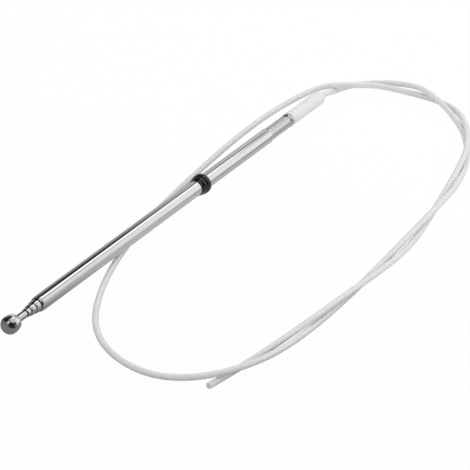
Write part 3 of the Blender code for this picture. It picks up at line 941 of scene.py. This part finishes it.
@dataclass
class RodAndBall:
    """The solid innermost section and the ball screwed on its end."""

    ball_radius: float = 4.52 * MM
    dome_length: float = 3.7 * MM
    skirt_start: float = 4.4 * MM
    back_radius: float = 3.95 * MM
    back_rounding: float = 0.3 * MM
    hole_depth: float = 5.3 * MM
    hole_fit: float = 0.05 * MM
    rod_entry: float = 5.0 * MM
    rod_chamfer: float = 0.15 * MM
    rod_facets: int = 80
    spigot_diameter: float = 2.4 * MM
    ferrule_front: float = 30.325 * MM
    # How wide the rod's band of painted shade at the lip outside it is
    gap_shade_width: float = 0.9 * MM
    rod_finish: ChromePlate = ChromePlate(mark_spacing_mm=0.3, mark_depth=0.08)
    ball_finish: ChromePlate = ChromePlate(lay=Lay.AROUND, mark_spacing_mm=0.25, ripple_mm=9.0)

    def build_ball(self) -> bpy.types.Object:
        """Turn the ball: a flattened dome, a skirt that falls away towards the back, and a blind hole.

        Returns:
            The new object, not dressed yet.
        """
        dome_back = LAYOUT.tip + self.dome_length
        outline = arc((dome_back, 0.0), (self.dome_length, self.ball_radius), 180.0, 90.0, 36)
        outline[0] = (LAYOUT.tip, 0.0)
        skirt = (LAYOUT.tip + self.skirt_start, self.ball_radius)
        outline.append(skirt)
        rounding = self.back_rounding
        back = LAYOUT.head_back - rounding
        outline += bowed(skirt, (back, self.back_radius), 12)
        outline += arc((back, self.back_radius - rounding), (rounding, rounding), 75.0, 0.0, 5)
        hole = LAYOUT.rod_diameter / 2 + self.hole_fit
        outline += [(LAYOUT.head_back, hole), (LAYOUT.head_back - self.hole_depth, hole)]
        outline.append((LAYOUT.head_back - self.hole_depth, 0.0))
        return turned("chromed_ball", outline)

    def build_rod(self) -> bpy.types.Object:
        """Turn the rod, from its end in the ball to the spigot in its ferrule.

        Returns:
            The new object, not dressed yet.
        """
        front = LAYOUT.head_back - self.rod_entry
        radius = LAYOUT.rod_diameter / 2
        spigot = self.spigot_diameter / 2
        shoulder = self.ferrule_front - LAYOUT.seat_gap
        chamfer = self.rod_chamfer
        outline = [(front, 0.0), (front, radius - chamfer), (front + chamfer, radius), (shoulder, radius)]
        outline += [(shoulder, spigot), (shoulder + LAYOUT.spigot_length, spigot)]
        outline.append((shoulder + LAYOUT.spigot_length, 0.0))
        return turned("chromed_rod", outline, self.rod_facets)

    def dress(self, ball: bpy.types.Object, rod: bpy.types.Object) -> None:
        """Give the ball and the rod their finishes and body, and hide their CAD nodes.

        Args:
            ball: The ball.
            rod: The rod, which has a band of painted shade at the lip outside it.
        """
        dress(ball, "rod_section", "tip_ball", "chrome", self.ball_finish)
        wiped_by = LAYOUT.main_lip - sum(LAYOUT.sections_proud)
        finish = replace(self.rod_finish, gap_shade_end=wiped_by, gap_shade_width=self.gap_shade_width)
        dress(rod, "rod_section", "rod", "chrome", finish)


@dataclass
class SealRing:
    """The black ring on the main tube, with a front lobe that swells slowly, a valley, and a back lobe."""

    fit: float = 0.03 * MM
    front_lobe: float = 4.35 * MM
    crest_setback: float = 3.4 * MM
    back_lobe: float = 3.3 * MM
    back_swell: float = 1.6 * MM
    face_rise: float = 0.25 * MM
    front_rise: float = 0.9 * MM
    valley_rise: float = 0.7 * MM
    back_rise: float = 1.35 * MM
    edge_rise: float = 0.95 * MM
    finish: MouldedRubber = MouldedRubber()

    def build(self) -> bpy.types.Object:
        """Turn the ring.

        Returns:
            The new object, not dressed yet.
        """
        tube = LAYOUT.main_diameter / 2
        front = LAYOUT.ring_front
        face = tube + self.face_rise
        crest = tube + self.front_rise
        valley = tube + self.valley_rise
        top = tube + self.back_rise
        fall = self.front_lobe - self.crest_setback
        steps = 16
        outline = [(front, tube + self.fit)]
        for step in range(steps):
            share = step / steps
            outline.append((front + self.crest_setback * share,
                            face + (crest - face) * (1 - math.cos(math.pi * share)) / 2))
        outline += arc((front + self.crest_setback, valley), (fall, crest - valley), 90.0, 0.0, 8)
        swell = front + self.front_lobe + self.back_swell
        outline += arc((swell, valley), (self.back_swell, top - valley), 180.0, 90.0, 12)[1:]
        corner = self.back_rise - self.edge_rise
        back = front + self.front_lobe + self.back_lobe
        outline += arc((back - corner, top - corner), (corner, corner), 90.0, 0.0, 6)
        outline.append((back, tube + self.fit))
        return turned("rubber_seal_ring", outline)

    def dress(self, piece: bpy.types.Object) -> None:
        """Give the ring its finish and body, and hide its CAD node."""
        dress(piece, "mast_foot", "seal_ring", "black_rubber", self.finish)


@dataclass
class Foot:
    """The narrower foot bush with its groove and rolled bead, and the nylon sleeve pushed into it."""

    bush_radius: float = 3.55 * MM
    bush_bore: float = 3.6 * MM
    socket: float = 5.4 * MM
    socket_depth: float = 8.0 * MM
    groove_length: float = 1.8 * MM
    groove_depth: float = 0.3 * MM
    bead_length: float = 2.4 * MM
    bead_height: float = 0.15 * MM
    plain_run: float = 0.3 * MM
    sleeve_diameter: float = 7.45 * MM
    sleeve_bore: float = 3.6 * MM
    sleeve_spigot: float = 7.5 * MM
    spigot_fit: float = 0.08 * MM
    shoulder_rounding: float = 0.15 * MM
    sleeve_rounding: float = 0.8 * MM
    bore_rounding: float = 0.25 * MM
    bush_finish: ChromePlate = ChromePlate(
        colour="#E0E0E0", roughness=0.2, lay=Lay.AROUND, mark_spacing_mm=0.3,
    )
    sleeve_finish: NaturalNylon = NaturalNylon()

    def build_bush(self) -> bpy.types.Object:
        """Turn the bush.

        Returns:
            The new object, not dressed yet.
        """
        bead = LAYOUT.bush_end - self.bead_length
        groove = bead - self.groove_length
        steps = 14
        outline = [(LAYOUT.bush_face, self.bush_bore / 2), (LAYOUT.bush_face, self.bush_radius)]
        # A short straight run before the groove keeps the shading of the long plain part level
        outline.append((groove - self.plain_run, self.bush_radius))
        for step in range(steps + 1):
            dip = self.groove_depth * math.sin(math.pi * step / steps)
            outline.append((groove + self.groove_length * step / steps, self.bush_radius - dip))
        for step in range(1, steps + 1):
            rise = self.bead_height * math.sin(math.pi * step / steps)
            outline.append((bead + self.bead_length * step / steps, self.bush_radius + rise))
        deep = LAYOUT.bush_end - self.socket_depth
        outline += [(LAYOUT.bush_end, self.socket / 2), (deep, self.socket / 2), (deep, self.bush_bore / 2)]
        return turned("chromed_foot_bush", outline)

    def build_sleeve(self) -> bpy.types.Object:
        """Turn the sleeve.

        Returns:
            The new object, not dressed yet.
        """
        radius = self.sleeve_diameter / 2
        bore = self.sleeve_bore / 2
        spigot = self.socket / 2 - self.spigot_fit
        front = LAYOUT.bush_end - self.sleeve_spigot
        shoulder = LAYOUT.bush_end + LAYOUT.seat_gap
        end = LAYOUT.sleeve_end
        outline = [(front, bore), (front, spigot), (shoulder, spigot)]
        small = self.shoulder_rounding
        outline += arc((shoulder + small, radius - small), (small, small), 180.0, 90.0, 3)
        large = self.sleeve_rounding
        outline += arc((end - large, radius - large), (large, large), 90.0, 0.0, 8)
        mouth = self.bore_rounding
        outline += arc((end - mouth, bore + mouth), (mouth, mouth), 0.0, -90.0, 3)
        return turned("nylon_guide_sleeve", outline)

    def dress(self, bush: bpy.types.Object, sleeve: bpy.types.Object) -> None:
        """Give the bush and the sleeve their finishes and body, and hide their CAD nodes."""
        dress(bush, "mast_foot", "foot_bush", "chrome", self.bush_finish)
        dress(sleeve, "mast_foot", "guide_sleeve", "natural_nylon", self.sleeve_finish)


@dataclass
class InnerParts:
    """The collars and springs inside the mast, which keep their CAD shapes and get real finishes."""

    brass: TurnedBrass = TurnedBrass()
    bronze: SpringBronze = SpringBronze()

    def dress(self, nodes: dict[str, bpy.types.Object]) -> None:
        """Swap the plain CAD finishes for brass and bronze.

        Args:
            nodes: The CAD nodes by name.
        """
        for name, node in nodes.items():
            if name.startswith(("foot_joint", "cable_ferrule")):
                self.paint(node, self.brass.make(f"{name}_brass"))
            elif name.startswith("contact_spring"):
                self.paint(node, self.bronze.make(f"{name}_spring_bronze"))

    def paint(self, node: bpy.types.Object, material: bpy.types.Material) -> None:
        """Put one material in every slot of a CAD node.

        Args:
            node: The CAD node.
            material: The material.
        """
        for place in node.material_slots:
            place.material = material
        LOG.info("%s keeps its CAD shape in %s", node.name, material.name)


@dataclass(frozen=True)
class Panel:
    """A soft box or a dark flag that runs along the mast and shows only in its reflections.

    The angle goes round the mast in degrees: -90 behind it at floor level, 0 overhead, 90 in front at floor
    level. A panel's level may change from the ball's end of the studio (0) to the cable's end (1), and it may
    start or end on the way.
    """

    name: str
    angle: float
    half_width: float
    edge: float
    ball_level: float
    foot_level: float
    ends: float = 9.0
    fade: float = 0.12
    starts: float = -9.0


@dataclass(frozen=True)
class RoundFlag:
    """A round dark or light thing that the ball and the lips mirror, with its angles in degrees."""

    name: str
    direction: tuple[float, float, float]
    half_angle: float
    edge: float
    level: float


@dataclass(frozen=True)
class EndWall:
    """A dim part of the room, towards one end of the mast, that shows only in reflections.

    It fades in where the share of a direction that runs along the mast goes from clear to full.
    """

    name: str
    clear: float
    full: float
    level: float


@dataclass(frozen=True)
class SoftBox:
    """A soft box that lights the object and doesn't show in its reflections, in metres and watts."""

    name: str
    place: tuple[float, float, float]
    size: tuple[float, float]
    power: float


@dataclass
class Studio:
    """A white table in soft light, with strip lights and flags along the mast, and the camera."""

    camera_place: tuple[float, float, float] = (-1452.8 * MM, -822.0 * MM, 749.9 * MM)
    camera_pitch: float = 65.328
    camera_turn: float = -61.562
    camera_lens: float = 279.3
    camera_sensor: float = 36.0
    camera_range: tuple[float, float] = (0.05, 40.0)
    floor_size: float = 8.0
    floor_gap: float = 0.02 * MM
    # The table is a little darker under the ball than under the foot, as the light on it falls off
    floor_colour: str = "#F2F2F2"
    floor_dark_colour: str = "#BCBCBC"
    floor_colour_range: tuple[float, float] = (-200.0 * MM, 130.0 * MM)
    floor_white_share: float = 0.97
    # How light the mirrored table is at the ball and further along the mast, and where it changes
    floor_levels: tuple[float, float] = (0.2, 0.52)
    floor_level_range: tuple[float, float] = (-165.0 * MM, -25.0 * MM)
    # Where the three edges of a dim strip on the table fade in: towards the mast, away from it, and along it
    strip_near: tuple[float, float] = (-12.0 * MM, -18.0 * MM)
    strip_far: tuple[float, float] = (-60.0 * MM, -42.0 * MM)
    strip_start: tuple[float, float] = (20.0 * MM, 60.0 * MM)
    strip_level: float = 0.4
    # The dark foot of the camera's stand on the table, which only the ball mirrors
    stand_place: tuple[float, float, float] = (-272.0 * MM, -310.0 * MM, 0.0)
    stand_radius: float = 300.0 * MM
    stand_fade: float = 12.0 * MM
    stand_level: float = 0.01
    soft_level: float = 0.88
    room_level: float = 0.48
    # The shares along the mast of the directions in which the panels' two ends lie
    panel_reach: tuple[float, float] = (0.768, 0.811)
    end_walls: tuple[EndWall, ...] = (
        EndWall("doorway", 0.62, 0.4, 0.03),
        EndWall("camera's side", 0.05, -0.25, 0.17),
        EndWall("far end", 0.955, 0.985, 0.25),
    )
    softboxes: tuple[SoftBox, ...] = (
        SoftBox("top_softbox", (0.0, 0.55, 1.3), (1.6, 0.9), 0.5),
        SoftBox("cable_end_softbox", (0.5, -0.35, 0.55), (0.7, 0.7), 1.6),
    )
    panels: tuple[Panel, ...] = (
        Panel("wall behind", -80.0, 26.0, 8.0, 0.33, 0.55),
        Panel("low dark flag behind", -60.0, 4.0, 5.0, 0.24, 0.5),
        Panel("dark flag behind", -43.0, 6.0, 6.0, 0.06, 0.72),
        Panel("dark edge of the strip light", -13.0, 3.0, 2.0, 0.03, 0.04),
        Panel("second dark edge", -27.0, 2.0, 2.0, 0.06, 0.1),
        Panel("black flag behind the ball", -27.0, 10.0, 5.0, 0.03, 0.03, 0.42, 0.16),
        Panel("soft light beside the strip light", 16.0, 6.0, 5.0, 0.72, 1.12, 0.9),
        Panel("overhead strip light", 3.5, 9.0, 2.5, 1.3, 1.26, 0.9),
        Panel("front ceiling", 55.0, 26.0, 6.0, 0.84, 0.96),
        Panel("thin grey edge", 26.0, 3.0, 4.0, 0.42, 0.42, 0.2, 0.25),
        Panel("dim front wall", 80.0, 5.0, 9.0, 0.56, 0.56, 0.12, 0.3),
        Panel("foot of the front wall", 90.0, 5.0, 4.0, 0.52, 1.04),
        Panel("white wall beyond the foot", -30.0, 26.0, 6.0, 0.86, 0.86, starts=1.1, fade=0.05),
        Panel("dark flag at the far end", -24.0, 12.0, 6.0, 0.03, 0.03, starts=2.6, fade=0.4),
    )
    flags: tuple[RoundFlag, ...] = (
        RoundFlag("light over the ball", (0.06, -0.4, 0.91), 25.0, 7.0, 0.6),
        RoundFlag("light patch", (-0.74, 0.1, 0.67), 14.0, 6.0, 0.6),
        RoundFlag("dark hood", (-0.36, 0.54, 0.76), 21.0, 5.0, 0.01),
        RoundFlag("dark camera and stand", (-0.74, -0.62, 0.14), 34.0, 4.0, 0.01),
    )

    def place_camera(self) -> None:
        """Put the camera where the photograph was taken from, with its long lens."""
        data = bpy.data.cameras.new("photo_camera")
        data.lens = self.camera_lens
        data.sensor_width = self.camera_sensor
        data.clip_start, data.clip_end = self.camera_range
        camera = bpy.data.objects.new("photo_camera", data)
        camera.location = self.camera_place
        camera.rotation_euler = (math.radians(self.camera_pitch), 0.0, math.radians(self.camera_turn))
        bpy.context.scene.collection.objects.link(camera)
        bpy.context.scene.camera = camera
        LOG.info("camera placed with a %.1f mm lens", self.camera_lens)

    def lay_floor(self, lowest: float) -> None:
        """Lay the white table just under the cable.

        Args:
            lowest: The height of the object's lowest point.
        """
        work = bmesh.new()
        half = self.floor_size / 2
        height = lowest - self.floor_gap
        edges = ((-half, -half), (half, -half), (half, half), (-half, half))
        work.faces.new([work.verts.new((x, y, height)) for x, y in edges])
        floor = finish_mesh("white_table", work, SHARP_DEGREES)
        floor.data.materials.append(self.table_material())
        floor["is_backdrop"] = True
        LOG.info("table laid at %.4f m", height)

    def table_material(self) -> bpy.types.Material:
        """A matt pale table top, which the camera sees as the white of the photograph.

        Returns:
            The material.
        """
        material = bpy.data.materials.new("matt_white_table")
        material.use_nodes = True
        tree = material.node_tree
        tree.nodes.clear()
        white = add_node(tree, "ShaderNodeEmission", {"Strength": 1.0})
        place = add_node(tree, "ShaderNodeTexCoord")
        parts = add_node(tree, "ShaderNodeSeparateXYZ", {}, {0: place.outputs["Object"]})
        dark_end, light_end = self.floor_colour_range
        lit = add_node(tree, "ShaderNodeMapRange",
                       {"interpolation_type": "SMOOTHSTEP", "From Min": dark_end, "From Max": light_end},
                       {"Value": parts.outputs["X"]})
        dark, light = linear(self.floor_dark_colour), linear(self.floor_colour)
        shade = add_node(tree, "ShaderNodeMix", {"data_type": "RGBA", 6: dark, 7: light},
                         {0: lit.outputs["Result"]})
        matt = add_node(tree, "ShaderNodeBsdfDiffuse", {}, {"Color": shade.outputs[2]})
        ball_end, far_end = self.floor_level_range
        ball_level, far_level = self.floor_levels
        level = add_node(tree, "ShaderNodeMapRange",
                         {"interpolation_type": "SMOOTHSTEP", "From Min": ball_end, "From Max": far_end,
                          "To Min": ball_level, "To Max": far_level},
                         {"Value": parts.outputs["X"]})
        shaded = self.shade_in_front(tree, parts, level.outputs["Result"])
        mirrored = add_node(tree, "ShaderNodeEmission", {}, {"Strength": shaded})
        surface = self.choose_by_ray(tree, matt, white, mirrored, self.floor_white_share)
        add_node(tree, "ShaderNodeOutputMaterial", {}, {"Surface": surface})
        return material

    def choose_by_ray(self, tree: bpy.types.NodeTree, lit: bpy.types.Node, seen: bpy.types.Node,
                      mirrored: bpy.types.Node, seen_share: float) -> bpy.types.NodeSocket:
        """Show one thing to the camera, another in reflections, and light the object with a third.

        Args:
            tree: The nodes of the table or of the world.
            lit: What lights the object, and takes its shadow.
            seen: What the camera sees, also through a clear material.
            mirrored: What shows in reflections.
            seen_share: How much of what the camera sees covers what is lit.

        Returns:
            The socket with the result.
        """
        path = add_node(tree, "ShaderNodeLightPath")
        direct = add_node(tree, "ShaderNodeMath", {"operation": "ADD"},
                          {0: path.outputs["Is Camera Ray"], 1: path.outputs["Is Transmission Ray"]})
        share = add_node(tree, "ShaderNodeMath", {"operation": "MULTIPLY", 1: seen_share},
                         {0: direct.outputs[0]})
        plain = add_node(tree, "ShaderNodeMixShader", {},
                         {0: share.outputs[0], 1: lit.outputs[0], 2: seen.outputs[0]})
        result = add_node(tree, "ShaderNodeMixShader", {},
                          {0: path.outputs["Is Glossy Ray"], 1: plain.outputs[0], 2: mirrored.outputs[0]})
        return result.outputs[0]

    def shade_in_front(self, tree: bpy.types.NodeTree, place: bpy.types.Node,
                       level: bpy.types.NodeSocket) -> bpy.types.NodeSocket:
        """Darken the mirrored table in a strip in front of the mast's foot, and where the camera's stand is.

        Args:
            tree: The table's nodes.
            place: The node that splits the place on the table.
            level: The level without the strip and the stand.

        Returns:
            The level with both in it.
        """
        covers = []
        for axis, edges in (("Y", self.strip_near), ("Y", self.strip_far), ("X", self.strip_start)):
            edge = add_node(tree, "ShaderNodeMapRange",
                            {"interpolation_type": "SMOOTHSTEP", "From Min": edges[0], "From Max": edges[1]},
                            {"Value": place.outputs[axis]})
            covers.append(edge.outputs["Result"])
        breadth = add_node(tree, "ShaderNodeMath", {"operation": "MULTIPLY"}, {0: covers[0], 1: covers[1]})
        cover = add_node(tree, "ShaderNodeMath", {"operation": "MULTIPLY"},
                         {0: breadth.outputs[0], 1: covers[2]})
        strip = add_node(tree, "ShaderNodeMix", {"data_type": "FLOAT", 3: self.strip_level},
                         {0: cover.outputs[0], 2: level})
        flat = add_node(tree, "ShaderNodeCombineXYZ", {}, {0: place.outputs["X"], 1: place.outputs["Y"]})
        away = add_node(tree, "ShaderNodeVectorMath", {"operation": "DISTANCE", 1: self.stand_place},
                        {0: flat.outputs[0]})
        foot = add_node(tree, "ShaderNodeMapRange",
                        {"interpolation_type": "SMOOTHSTEP", "From Min": self.stand_radius,
                         "From Max": self.stand_radius + self.stand_fade, "To Min": 1.0, "To Max": 0.0},
                        {"Value": away.outputs["Value"]})
        stand = add_node(tree, "ShaderNodeMix", {"data_type": "FLOAT", 3: self.stand_level},
                         {0: foot.outputs["Result"], 2: strip.outputs[0]})
        return stand.outputs[0]

    def light_room(self) -> None:
        """Light the room: white to the camera, soft light on the object, panels in the reflections."""
        world = bpy.data.worlds.new("studio")
        bpy.context.scene.world = world
        world.use_nodes = True
        tree = world.node_tree
        tree.nodes.clear()
        place = add_node(tree, "ShaderNodeTexCoord")
        parts = add_node(tree, "ShaderNodeSeparateXYZ", {}, {0: place.outputs["Generated"]})
        forward = add_node(tree, "ShaderNodeMath", {"operation": "MULTIPLY", 1: -1.0},
                           {0: parts.outputs["Y"]})
        turn = add_node(tree, "ShaderNodeMath", {"operation": "ARCTAN2"},
                        {0: forward.outputs[0], 1: parts.outputs["Z"]})
        degrees = add_node(tree, "ShaderNodeMath", {"operation": "DEGREES"}, {0: turn.outputs[0]})
        ball_end, foot_end = self.panel_reach
        toward_foot = add_node(tree, "ShaderNodeMapRange",
                               {"From Min": ball_end, "From Max": foot_end, "clamp": False},
                               {"Value": parts.outputs["X"]})
        level = None
        for panel in self.panels:
            level = self.hang(tree, panel, degrees.outputs[0], toward_foot.outputs["Result"], level)
        for wall in self.end_walls:
            side = add_node(tree, "ShaderNodeMapRange",
                            {"interpolation_type": "SMOOTHSTEP", "From Min": wall.clear,
                             "From Max": wall.full},
                            {"Value": parts.outputs["X"]})
            shaded = add_node(tree, "ShaderNodeMix", {"data_type": "FLOAT", 3: wall.level},
                              {0: side.outputs["Result"], 2: level})
            level = shaded.outputs[0]
        for flag in self.flags:
            level = self.hang_round(tree, flag, place.outputs["Generated"], level)
        soft = add_node(tree, "ShaderNodeBackground", {"Color": linear(WHITE), "Strength": self.soft_level})
        seen = add_node(tree, "ShaderNodeBackground", {"Color": linear(WHITE), "Strength": 1.0})
        mirrored = add_node(tree, "ShaderNodeBackground", {"Color": linear(WHITE)}, {"Strength": level})
        surface = self.choose_by_ray(tree, soft, seen, mirrored, 1.0)
        add_node(tree, "ShaderNodeOutputWorld", {}, {"Surface": surface})
        LOG.info("room lit, with %d panels and flags", len(self.panels) + len(self.flags))

    def hang(self, tree: bpy.types.NodeTree, panel: Panel, angle: bpy.types.NodeSocket,
             toward_foot: bpy.types.NodeSocket, behind: bpy.types.NodeSocket | None) -> bpy.types.NodeSocket:
        """Put one panel in front of what hangs there already.

        Args:
            tree: The world's nodes.
            panel: The panel.
            angle: The angle round the mast, in degrees.
            toward_foot: 0 at the ball's end of the studio, and 1 at the cable's end.
            behind: The level of what hangs there already, or None for the bare room.

        Returns:
            The level with the panel in it.
        """
        offset = add_node(tree, "ShaderNodeMath", {"operation": "SUBTRACT", 1: panel.angle}, {0: angle})
        away = add_node(tree, "ShaderNodeMath", {"operation": "ABSOLUTE"}, {0: offset.outputs[0]})
        cover = add_node(tree, "ShaderNodeMapRange",
                         {"interpolation_type": "SMOOTHSTEP", "From Min": panel.half_width,
                          "From Max": panel.half_width + panel.edge, "To Min": 1.0, "To Max": 0.0},
                         {"Value": away.outputs[0]})
        own = add_node(tree, "ShaderNodeMapRange", {"To Min": panel.ball_level, "To Max": panel.foot_level},
                       {"Value": toward_foot})
        share = cover.outputs["Result"]
        for place, before, after in ((panel.starts, 0.0, 1.0), (panel.ends, 1.0, 0.0)):
            reach = add_node(tree, "ShaderNodeMapRange",
                             {"interpolation_type": "SMOOTHSTEP", "From Min": place - panel.fade,
                              "From Max": place + panel.fade, "To Min": before, "To Max": after},
                             {"Value": toward_foot})
            both = add_node(tree, "ShaderNodeMath", {"operation": "MULTIPLY"},
                            {0: share, 1: reach.outputs["Result"]})
            share = both.outputs[0]
        level = add_node(tree, "ShaderNodeMix", {"data_type": "FLOAT", 2: self.room_level},
                         {0: share, 3: own.outputs["Result"]})
        if behind is not None:
            tree.links.new(behind, level.inputs[2])
        return level.outputs[0]

    def hang_round(self, tree: bpy.types.NodeTree, flag: RoundFlag, direction: bpy.types.NodeSocket,
                   behind: bpy.types.NodeSocket) -> bpy.types.NodeSocket:
        """Put one round flag in front of what hangs there already.

        Args:
            tree: The world's nodes.
            flag: The flag.
            direction: The direction that is looked in.
            behind: The level of what hangs there already.

        Returns:
            The level with the flag in it.
        """
        aim = tuple(Vector(flag.direction).normalized())
        nearness = add_node(tree, "ShaderNodeVectorMath", {"operation": "DOT_PRODUCT", 1: aim},
                            {0: direction})
        cover = add_node(tree, "ShaderNodeMapRange",
                         {"interpolation_type": "SMOOTHSTEP",
                          "From Min": math.cos(math.radians(flag.half_angle + flag.edge)),
                          "From Max": math.cos(math.radians(flag.half_angle))},
                         {"Value": nearness.outputs["Value"]})
        level = add_node(tree, "ShaderNodeMix", {"data_type": "FLOAT", 3: flag.level},
                         {0: cover.outputs["Result"], 2: behind})
        return level.outputs[0]

    def hang_softboxes(self) -> None:
        """Hang the soft boxes, each aimed at the middle of the mast."""
        for box in self.softboxes:
            data = bpy.data.lights.new(box.name, "AREA")
            data.shape = "RECTANGLE"
            data.size, data.size_y = box.size
            data.energy = box.power
            lamp = bpy.data.objects.new(box.name, data)
            lamp.location = box.place
            lamp.rotation_euler = (-Vector(box.place)).to_track_quat("-Z", "Y").to_euler()
            lamp.visible_glossy = False
            bpy.context.scene.collection.objects.link(lamp)
            LOG.info("%s hung", box.name)


def main() -> None:
    """Build the studio and the pieces in order, and say what was made."""
    logging.basicConfig(level=logging.INFO, format="%(name)s: %(message)s")
    cad_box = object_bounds()
    bpy.context.scene.view_settings.view_transform = "Standard"
    studio = Studio()
    studio.place_camera()
    cable = DriveCable()
    cable.dress(cable.build())
    main_tube = MainTube()
    main_tube.dress(main_tube.build())
    sections = SlidingSections()
    sections.dress(sections.build())
    rod = RodAndBall()
    rod.dress(rod.build_ball(), rod.build_rod())
    ring = SealRing()
    ring.dress(ring.build())
    foot = Foot()
    foot.dress(foot.build_bush(), foot.build_sleeve())
    InnerParts().dress(frame["nodes"])
    studio.lay_floor(cad_box[0].z)
    studio.light_room()
    studio.hang_softboxes()


if __name__ == "__main__":
    main()
